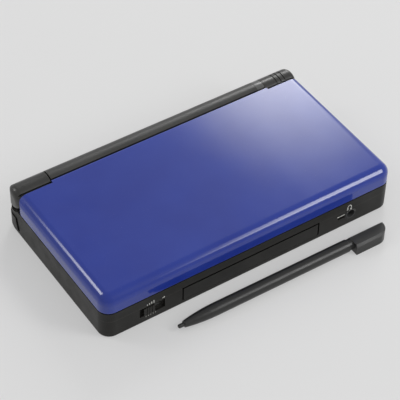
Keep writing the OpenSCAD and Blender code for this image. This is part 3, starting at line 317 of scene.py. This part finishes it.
charcoal = {"dark": srgb(33, 33, 31), "light": srgb(40, 39, 37), "wear": srgb(62, 61, 58)}
finishes = {  # by the record's material slots
    "lid_blue": paintedLid(lidPaint),
    "lid_black": mouldedPlastic("lid_inner_charcoal", roughness=(0.28, 0.4), grain=0.06, specular=0.75, **charcoal),
    "clear_lens": clearGlass("screen_lens", srgb(16, 17, 19)),
    "display": displayGlass(),
    "touch_film": clearGlass("touch_film", srgb(62, 68, 70), 0.12),
    "white_plastic": mouldedPlastic("white_plastic", srgb(208, 207, 200), srgb(218, 217, 211), (0.45, 0.6), 0.1),
    "speaker_grey": softRubber("speaker_cone", srgb(44, 44, 46), srgb(58, 58, 60)),
    "rubber_black": softRubber("black_rubber", srgb(28, 28, 29), srgb(38, 38, 39)),
    "silicone": softRubber("contact_silicone", srgb(150, 150, 146), srgb(168, 168, 163)),
    "screw_steel": brushedMetal("screw_steel", srgb(120, 120, 122), srgb(160, 160, 162)),
    "tin_plate": brushedMetal("tin_plate", srgb(168, 170, 172), srgb(192, 193, 195), (0.25, 0.42)),
    "sleeve_grey": mouldedPlastic("sleeve_grey", srgb(88, 88, 90), srgb(98, 98, 100)),
    "cartridge_steel": brushedMetal("cartridge_steel", srgb(150, 152, 155), srgb(176, 178, 181)),
    "light_window": frostedWindow(),
    "led": mouldedPlastic("lamp_resin", srgb(226, 214, 160), srgb(236, 226, 176), (0.15, 0.25), 0.02),
    "ribbon": mouldedPlastic("ribbon_film", srgb(168, 104, 40), srgb(186, 120, 52), (0.22, 0.34), 0.05),
    "board_green": boardGreen(),
    "chip_black": mouldedPlastic("chip_resin", srgb(26, 26, 27), srgb(33, 33, 34), (0.5, 0.65), 0.2),
    "battery_wrap": printedWrap(),
    "socket_black": mouldedPlastic("socket_black", srgb(24, 24, 25), srgb(30, 30, 31), (0.35, 0.5), 0.08),
    "key_black": mouldedPlastic(
        "key_plastic", srgb(30, 30, 31), srgb(37, 37, 38), (0.28, 0.4), 0.06, wear=srgb(56, 56, 58)
    ),
    "case_charcoal": mouldedPlastic("case_charcoal", roughness=(0.34, 0.46), grain=0.14, specular=0.2, **charcoal),
    "stylus_charcoal": mouldedPlastic(
        "stylus_charcoal", srgb(38, 38, 38), srgb(43, 43, 42), (0.3, 0.38), 0.05, 0.45, srgb(64, 63, 62)
    ),
}
barrelFinish = mouldedPlastic("barrel_charcoal", roughness=(0.36, 0.48), grain=0.14, specular=0.85, **charcoal)
# Near-black painted shade for seam faces that lie in shadow
seamPaintedShade = mouldedPlastic("seam_painted_shade", srgb(12, 12, 12), srgb(17, 17, 17), (0.6, 0.75), 0.1, 0.1)
# Pale grey that paints light into the shaded recess of the volume slider's track
trackPaintedLight = mouldedPlastic("volume_track", srgb(104, 104, 103), srgb(114, 114, 112), (0.4, 0.55), 0.1, 0.3)
# Lighter grey that paints light into the shaded bore of the headphone socket
borePaintedLight = mouldedPlastic("jack_bore_painted_light", srgb(58, 58, 59), srgb(70, 70, 70), (0.5, 0.6), 0.1, 0.2)
# Pale and dim inks for the printed signs, also used for the painted highlights round the socket
paleInkAndGlint = mouldedPlastic("pale_ink_and_glint", srgb(206, 206, 200), srgb(216, 216, 210), (0.5, 0.6), 0.04)
dimInkAndGlint = mouldedPlastic("dim_ink_and_glint", srgb(140, 140, 136), srgb(154, 154, 150), (0.5, 0.6), 0.04)
print("finishes made:", len(finishes))


# Mesh helpers
def faceOut(bm):
    # Turns every face of a closed mesh outward
    bmesh.ops.recalc_face_normals(bm, faces=bm.faces)
    if bm.calc_volume(signed=True) < 0:
        bmesh.ops.reverse_faces(bm, faces=bm.faces)


def asObject(name, bm):
    mesh = bpy.data.meshes.new(name)
    bm.to_mesh(mesh)
    bm.free()
    piece = bpy.data.objects.new(name, mesh)
    bpy.context.scene.collection.objects.link(piece)
    return piece


def bake(piece):
    # Puts the piece's modifiers into its mesh
    graph = bpy.context.evaluated_depsgraph_get()
    mesh = bpy.data.meshes.new_from_object(piece.evaluated_get(graph))
    piece.modifiers.clear()
    old = piece.data
    piece.data = mesh
    bpy.data.meshes.remove(old)
    mesh.name = piece.name


def carve(piece, cutter, operation="DIFFERENCE"):
    cut = piece.modifiers.new("cut", "BOOLEAN")
    cut.operation = operation
    cut.solver = "EXACT"
    cut.object = cutter
    bake(piece)
    bpy.data.objects.remove(cutter)


def softEdges(piece, width, segments, angle=30):
    bevel = piece.modifiers.new("edges", "BEVEL")
    bevel.width = width * mm
    bevel.segments = segments
    bevel.limit_method = "ANGLE"
    bevel.angle_limit = math.radians(angle)
    bake(piece)


def shadeSmooth(piece, angle=32):
    mesh = piece.data
    mesh.polygons.foreach_set("use_smooth", [True] * len(mesh.polygons))
    mesh.set_sharp_from_angle(angle=math.radians(angle))
    weighted = piece.modifiers.new("normals", "WEIGHTED_NORMAL")
    weighted.keep_sharp = True
    weighted.weight = 60


def enter(piece, body, material, stands=()):
    piece.data.materials.clear()
    piece.data.materials.append(material)
    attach(piece, body)
    if stands:
        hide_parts(*stands)
    return piece


def mergeFlats(bm, distance):
    # Joins doubled vertices, then the triangles of each flat face
    bmesh.ops.remove_doubles(bm, verts=bm.verts, dist=distance)
    bmesh.ops.dissolve_limit(bm, angle_limit=math.radians(0.6), verts=bm.verts, edges=bm.edges, delimit=set())


def cleanCopy(nodeName, pieceName):
    bm = bmesh.new()
    bm.from_mesh(cadNodes[nodeName].data)
    mergeFlats(bm, 0.000004)
    return asObject(pieceName, bm)


# Cutters, in mm
def boxMesh(low, high):
    bm = bmesh.new()
    bmesh.ops.create_cube(bm, size=1.0)
    size = [high[i] - low[i] for i in range(3)]
    middle = [(high[i] + low[i]) / 2 for i in range(3)]
    for vert in bm.verts:
        vert.co = Vector([middle[i] + vert.co[i] * size[i] for i in range(3)]) * mm
    return asObject("cutter", bm)


def rodMesh(radius, x0, x1, y, z, segments=128):
    # Rod along X
    bm = bmesh.new()
    middle = Vector(((x0 + x1) / 2, y, z)) * mm
    bmesh.ops.create_cone(
        bm, cap_ends=True, segments=segments, radius1=radius * mm, radius2=radius * mm, depth=(x1 - x0) * mm,
        matrix=Matrix.Translation(middle) @ Matrix.Rotation(math.pi / 2, 4, "Y")
    )
    return asObject("cutter", bm)


def pull(bm, faces, way):
    # Extrudes the faces by a vector
    raised = bmesh.ops.extrude_face_region(bm, geom=faces)["geom"]
    moved = [g for g in raised if isinstance(g, bmesh.types.BMVert)]
    bmesh.ops.translate(bm, verts=moved, vec=Vector(way) * mm)


def prismMesh(outline, z0, z1):
    # Upright prism on a plan outline
    bm = bmesh.new()
    face = bm.faces.new([bm.verts.new(Vector((x, y, z0)) * mm) for x, y in outline])
    pull(bm, [face], (0, 0, z1 - z0))
    faceOut(bm)
    return asObject("cutter", bm)


def roundSome(piece, chosen, width, segments=3, angle=30):
    # Bevels only the sharp edges whose middle passes the test, in mm
    bm = bmesh.new()
    bm.from_mesh(piece.data)
    mergeFlats(bm, 0.000003)
    edges = [
        e for e in bm.edges
        if len(e.link_faces) == 2 and e.calc_face_angle(0) > math.radians(angle)
        and chosen((e.verts[0].co + e.verts[1].co) / 2 / mm)
    ]
    bmesh.ops.bevel(
        bm, geom=edges, offset=width * mm, offset_type="OFFSET", segments=segments, profile=0.5, affect="EDGES",
        clamp_overlap=True, material=-1
    )
    bm.to_mesh(piece.data)
    bm.free()


# Seams as the photo shows them, in mm; a cutter runs past its piece where no name limits it
seams = {
    "hingeY": 31.75,
    "hingeZ": 16.3,
    "lidBottom": 13.3,  # the painted shell ends here, above the rim at 12.7
    "lidScoop": 5.95,  # radius of the lid's scoop round the hinge
    "lipEdge": 0.35,  # rounding of the lip's top edge
    "earLeft": -50.6,
    "earRight": 51.1,
    "earLip": (26.95, 27.15),  # the lid's lip in front of the left and the right ear
    "earCorner": 5.4,  # plan corner of the ears' ends
    "earCrease": (50.8, 28.6),  # inner end and back of the crease over an ear, on X and Y
    "creaseY": 29.3,  # dark crease between the barrel and the lid's lip
    "creaseZ": 19.6,
    "barrelLeft": -50.2,
    "windowLeft": 40.0,
    "coverLeft": (-31.8, -32.4),  # left sides of the cover and of its opening
    "coverRight": (30.5, 31.25),  # right side of the opening before and after
    "coverTop": (8.25, 9.1),  # top of the cover and of its opening
    "coverFoot": 2.4,
    "gripFill": (8.4, 3.1, 0.7),  # half width, top and depth of the closed finger groove
    "front": -36.95,
    "halfWidth": 66.5,
    "rear": 36.95,
}


def shellSeams(piece, s):
    w = s["halfWidth"] + 1
    carve(piece, boxMesh((-w, s["front"] - 1, 12), (w, s["rear"], s["lidBottom"])))
    carve(piece, rodMesh(s["lidScoop"], -w, w, s["hingeY"], s["hingeZ"]))
    lipLeft, lipRight = s["earLip"]
    carve(piece, boxMesh((s["earRight"] + 0.1, lipRight, 18), (w, s["hingeY"], 22)))
    carve(piece, boxMesh((-w, lipLeft, 18), (s["earLeft"] - 0.1, s["hingeY"], 22)))
    roundSome(piece, lambda p: p.z > 20.6 and p.y > 26.9, s["lipEdge"])


def earEnds(piece, s):
    y, z, c = s["hingeY"], s["hingeZ"], s["earCorner"]
    creaseX, creaseBack = s["earCrease"]
    turns = [math.radians(3.75 * i) for i in range(25)]
    for side in (-1, 1):
        cx = side * (s["halfWidth"] - c)
        cy = s["rear"] - c
        arc = [(cx + side * c * math.cos(t), cy + c * math.sin(t)) for t in turns]
        outside = [(cx, cy + c + 2), (cx + side * (c + 2), cy + c + 2), (cx + side * (c + 2), cy)]
        carve(piece, prismMesh(arc + outside, 9, 23))
        x0, x1 = sorted((side * creaseX, side * 68))
        carve(piece, boxMesh((x0, 24, s["creaseZ"]), (x1, creaseBack, 22)))
    carve(piece, boxMesh((s["earLeft"] - 0.2, y - 7, z - 6), (s["earLeft"] + 3, y + 7, z + 6)))


def caseSeams(piece, s):
    x = s["barrelLeft"]
    carve(piece, boxMesh((x - 0.8, s["hingeY"] - 7, 12.8), (x, s["rear"] + 1, 22)))
    carve(piece, boxMesh((x - 0.3, s["hingeY"] - 7, s["creaseZ"]), (s["earRight"], s["creaseY"], 22)))
    opening = (s["coverRight"][1], s["front"] + 1.4, s["coverTop"][1])
    carve(piece, boxMesh((s["coverLeft"][1], s["front"] - 1, 8), opening))


def tubSeams(piece, s):
    x0, x1 = s["coverRight"]
    carve(piece, boxMesh((x0, s["front"] - 1, s["coverFoot"]), (x1, s["front"] + 1.2, 9)))


def windowSeams(piece, s):
    end = (s["earRight"] + 1, s["creaseY"], 22)
    carve(piece, boxMesh((s["windowLeft"], s["hingeY"] - 7, s["creaseZ"]), end))


def coverSeams(piece, s):
    half, top, deep = s["gripFill"]
    carve(piece, boxMesh((-half, s["front"], s["coverFoot"]), (half, s["front"] + deep, top)), "UNION")
    carve(piece, boxMesh((-33, s["front"] - 1, s["coverTop"][0]), (32, s["front"] + 1.45, 9)))
    carve(piece, boxMesh((-33, s["front"] - 1, 2), (s["coverLeft"][0], s["front"] + 1.45, 9)))


seamWork = {
    "lid_outer_shell": shellSeams,
    "lid_inner_case": earEnds,
    "base_upper_case": caseSeams,
    "base_lower_case": tubSeams,
    "cartridge_cover": coverSeams,
    "hinge_light_window": windowSeams,
}


def dressCopy(nodeName, pieceName, width, segments):
    piece = cleanCopy(nodeName, pieceName)
    if nodeName in seamWork:
        seamWork[nodeName](piece, seams)
    softEdges(piece, width, segments)
    shadeSmooth(piece)
    return enter(piece, bodyOf[nodeName], finishes[slotOf[nodeName]], (nodeName,))


# Outer cases, covers and controls from the solids: piece, width of its soft edges in mm, and their segments
softened = {
    "lid_outer_shell": ("lid_painted_shell", 0.12, 2),
    "lid_inner_case": ("lid_face_and_ears", 0.12, 2),
    "base_upper_case": ("upper_case_and_barrel", 0.15, 2),
    "base_lower_case": ("lower_case_tub", 0.15, 2),
    "cartridge_cover": ("bay_dust_cover", 0.15, 2),
    "left_shoulder_button": ("shoulder_key_left", 0.2, 2),
    "right_shoulder_button": ("shoulder_key_right", 0.2, 2),
    "volume_slider": ("volume_knob", 0.1, 2),
    "power_switch": ("power_knob", 0.1, 2),
    "direction_pad": ("cross_pad", 0.2, 3),
    "key_right": ("round_key_right", 0.1, 2),
    "key_bottom": ("round_key_bottom", 0.1, 2),
    "key_top": ("round_key_top", 0.1, 2),
    "key_left": ("round_key_left", 0.1, 2),
    "start_button": ("small_key_start", 0.1, 2),
    "select_button": ("small_key_select", 0.1, 2),
    "hinge_light_window": ("barrel_light_window", 0.08, 2),
    "battery_cover": ("battery_door", 0.12, 2),
    "rubber_feet": ("round_feet", 0.12, 2),
    "lid_bumpers": ("round_bumpers", 0.12, 2),
    "headphone_socket": ("headphone_block", 0.08, 2),
    "stylus": ("stylus_body", 0.08, 2),
}
dressed = {}
for nodeName, (pieceName, width, segments) in softened.items():
    dressed[nodeName] = dressCopy(nodeName, pieceName, width, segments)


def secondFinish(piece, material, chosen):
    # Gives the faces whose centre passes the test, in mm, a finish of their own
    piece.data.materials.append(material)
    for face in piece.data.polygons:
        if chosen(face.center / mm):
            face.material_index = len(piece.data.materials) - 1


def inGroove(p):
    # Side faces of the seams round the cartridge cover, painted near-black as shade in the grooves
    return seams["front"] + 0.04 < p.y < seams["front"] + 1.5 and -32.6 < p.x < 31.4 and 2.3 < p.z < 9.2


# The barrel, behind and above the rim
secondFinish(dressed["base_upper_case"], barrelFinish, lambda p: p.y > 26 and p.z > 12.9)
# Painted shade: the groove faces round the cartridge cover are coloured near-black
for nodeName in ("base_upper_case", "base_lower_case", "cartridge_cover"):
    secondFinish(dressed[nodeName], seamPaintedShade, inGroove)
# Painted shade: the lid shell's cut bottom band is coloured near-black along the parting line
secondFinish(dressed["lid_outer_shell"], seamPaintedShade, lambda p: p.z < seams["lidBottom"] + 0.05)
jackX, jackZ, jackReach = 46.7, 5.6, 2


def inJack(p):
    # Inside of the headphone socket, behind its face, which gets a lighter grey as painted light
    return p.y > seams["front"] + 0.15 and max(abs(p.x - jackX), abs(p.z - jackZ)) < jackReach


secondFinish(dressed["headphone_socket"], borePaintedLight, inJack)
print("cases and controls dressed:", len(softened))


# Plain signs printed on the front wall, and painted highlights on the headphone socket's rim and the headset slot's
# lip: strokes in mm on X and Z, each with its width
signsAndGlints = {
    "headphone_sign": [
        ([(44.95, 8.9), (44.8, 9.6), (45.2, 10.55), (45.95, 10.8), (46.6, 10.2), (46.7, 9.3)], 0.4),
        ([(44.85, 8.35), (45.0, 9.3)], 0.7),
        ([(46.5, 8.1), (46.65, 9.05)], 0.7),
    ],
    # Painted highlights: light strokes standing for glints on the socket's rim
    "socket_rim_glints": [
        ([(jackX + r * math.cos(math.radians(a)), jackZ + r * math.sin(math.radians(a))) for r in (2.0, 2.45)], 0.22)
        for a in (20, 50, 80, 110, 140)
    ],
    # Painted highlight: a pale dash standing for the glint on the headset slot's lip
    "headset_slot_glint": [([(40.0, 6.75), (43.7, 6.7)], 0.4)],
    "volume_ticks": [([(-47.9 + i * 0.95, 8.7), (-47.9 + i * 0.95, 9.3 + 0.28 * i)], 0.34) for i in range(4)],
    "volume_wedge": [([(-41.3, 9.0), (-40.3, 9.0)], 0.3), ([(-40.75, 9.35), (-40.3, 9.35)], 0.4)],
    "volume_marks": [([(-48.6 + i * 1.05, 2.75), (-48.5 + i * 1.05, 3.35)], 0.32) for i in range(5)],
}
dimSignsAndGlints = ("socket_rim_glints", "volume_marks")


def drawMarks(name, strokes, front=seams["front"], thick=0.02):
    bm = bmesh.new()
    for points, width in strokes:
        sides = ([], [])
        for i, (x, z) in enumerate(points):
            before = points[max(i - 1, 0)]
            after = points[min(i + 1, len(points) - 1)]
            along = Vector((after[0] - before[0], after[1] - before[1])).normalized()
            for k, sign in ((0, 1), (1, -1)):
                off = Vector((-along.y, along.x)) * sign * width / 2
                sides[k].append(bm.verts.new(Vector((x + off.x, front, z + off.y)) * mm))
        faces = [
            bm.faces.new((sides[0][i], sides[0][i + 1], sides[1][i + 1], sides[1][i])) for i in range(len(points) - 1)
        ]
        pull(bm, faces, (0, -thick, 0))
    faceOut(bm)
    piece = asObject(name, bm)
    shadeSmooth(piece)
    strokeFinish = dimInkAndGlint if name in dimSignsAndGlints else paleInkAndGlint
    enter(piece, bodyOf["base_lower_case"], strokeFinish)


for name, strokes in signsAndGlints.items():
    drawMarks(name, strokes)
print("signs printed:", len(signsAndGlints))


# Everything inside keeps its solid and gets its finish
# The slider's track takes a pale grey as painted light that lifts the recess's shade
ownFinish = {"volume_control": trackPaintedLight}
for nodeName, solid in cadNodes.items():
    if nodeName not in softened:
        solid.data.materials.clear()
        solid.data.materials.append(ownFinish.get(nodeName, finishes[slotOf[nodeName]]))
print("inner nodes painted:", len(cadNodes) - len(softened))


# Floor
floorSetup = {
    "size": 3.0,  # m
    "colour": srgb(230, 230, 230),
    "shade": srgb(227, 227, 227),
    "seen": srgb(224, 224, 224),
    "own": 0.48,  # share of its own colour
}


def buildFloor(cfg):
    bm = bmesh.new()
    bmesh.ops.create_grid(bm, x_segments=1, y_segments=1, size=cfg["size"] / 2)
    floor = asObject("table_top", bm)
    mat, tree, shader = startMaterial("table_paper")
    cloud = objectNoise(tree, 6, 2)
    tree.links.new(mixColour(tree, cloud, cfg["colour"], cfg["shade"]), shader.inputs["Base Color"])
    shader.inputs["Roughness"].default_value = 0.9
    shader.inputs["Specular IOR Level"].default_value = 0.1
    # The camera, reflections and glass see part of the floor in its own colour, so its shadows stay pale
    path = node(tree, "ShaderNodeLightPath")
    seen = path.outputs["Is Camera Ray"]
    for ray in ("Is Glossy Ray", "Is Transmission Ray"):
        either = node(tree, "ShaderNodeMath", operation="MAXIMUM")
        tree.links.new(seen, either.inputs[0])
        tree.links.new(path.outputs[ray], either.inputs[1])
        seen = either.outputs[0]
    share = node(tree, "ShaderNodeMath", operation="MULTIPLY")
    share.inputs[1].default_value = cfg["own"]
    tree.links.new(seen, share.inputs[0])
    glow = node(tree, "ShaderNodeEmission")
    glow.inputs["Color"].default_value = (*cfg["seen"], 1)
    both = node(tree, "ShaderNodeMixShader")
    tree.links.new(share.outputs[0], both.inputs[0])
    tree.links.new(shader.outputs["BSDF"], both.inputs[1])
    tree.links.new(glow.outputs["Emission"], both.inputs[2])
    out = next(n for n in tree.nodes if n.bl_idname == "ShaderNodeOutputMaterial")
    tree.links.new(both.outputs["Shader"], out.inputs["Surface"])
    floor.data.materials.append(mat)


buildFloor(floorSetup)

# Softboxes by centre in metres and turn in degrees; radiance 1 is the white of plain light, and feather the share
# of each side over which the light fades in
softboxes = {
    "rear_window": {
        "centre": (0.675, 0.695, 0.521),
        "turn": -22.8,
        "size": (0.374, 0.705),
        "feather": (0.5, 0.247),
        "radiance": 11.4,
    },
    "front_box": {
        "centre": (0.567, -0.674, 0.659),
        "turn": -33.6,
        "size": (0.467, 0.633),
        "feather": (0.485, 0.1),
        "radiance": 9.07,
    },
    "left_box": {
        "centre": (-0.603, 0.588, 0.708),
        "turn": 28.2,
        "size": (0.268, 0.632),
        "feather": (0.5, 0.399),
        "radiance": 8.59,
    },
}
worldLight = {"colour": (1.0, 1.0, 1.0), "strength": 0.5}


def buildSoftbox(name, cfg):
    light = bpy.data.lights.new(name, "AREA")
    light.shape = "RECTANGLE"
    light.size, light.size_y = cfg["size"]
    light.energy = cfg["radiance"] * math.pi * cfg["size"][0] * cfg["size"][1]
    light.use_nodes = True
    tree = light.node_tree
    emission = tree.nodes["Emission"]
    geo = node(tree, "ShaderNodeNewGeometry")
    split = node(tree, "ShaderNodeSeparateXYZ")
    tree.links.new(geo.outputs["Parametric"], split.inputs["Vector"])
    product = None
    for axis, feather in zip("XY", cfg["feather"]):
        side = node(tree, "ShaderNodeMath", operation="PINGPONG")
        side.inputs[1].default_value = 0.5
        tree.links.new(split.outputs[axis], side.inputs[0])
        edge = node(tree, "ShaderNodeMapRange", interpolation_type="SMOOTHSTEP")
        edge.inputs["From Max"].default_value = feather
        tree.links.new(side.outputs[0], edge.inputs["Value"])
        if product is None:
            product = edge.outputs["Result"]
        else:
            both = node(tree, "ShaderNodeMath", operation="MULTIPLY")
            tree.links.new(product, both.inputs[0])
            tree.links.new(edge.outputs["Result"], both.inputs[1])
            product = both.outputs[0]
    tree.links.new(product, emission.inputs["Strength"])
    rig = bpy.data.objects.new(name, light)
    bpy.context.scene.collection.objects.link(rig)
    centre = Vector(cfg["centre"])
    turn = centre.to_track_quat("Z", "Y").to_matrix() @ Matrix.Rotation(math.radians(cfg["turn"]), 3, "Z")
    rig.matrix_world = Matrix.Translation(centre) @ turn.to_4x4()


for name, cfg in softboxes.items():
    buildSoftbox(name, cfg)

world = bpy.data.worlds.new("studio")
world.use_nodes = True
background = world.node_tree.nodes["Background"]
background.inputs["Color"].default_value = (*worldLight["colour"], 1)
background.inputs["Strength"].default_value = worldLight["strength"]
bpy.context.scene.world = world
bpy.context.scene.view_settings.view_transform = "Standard"
print("floor, light and camera set")
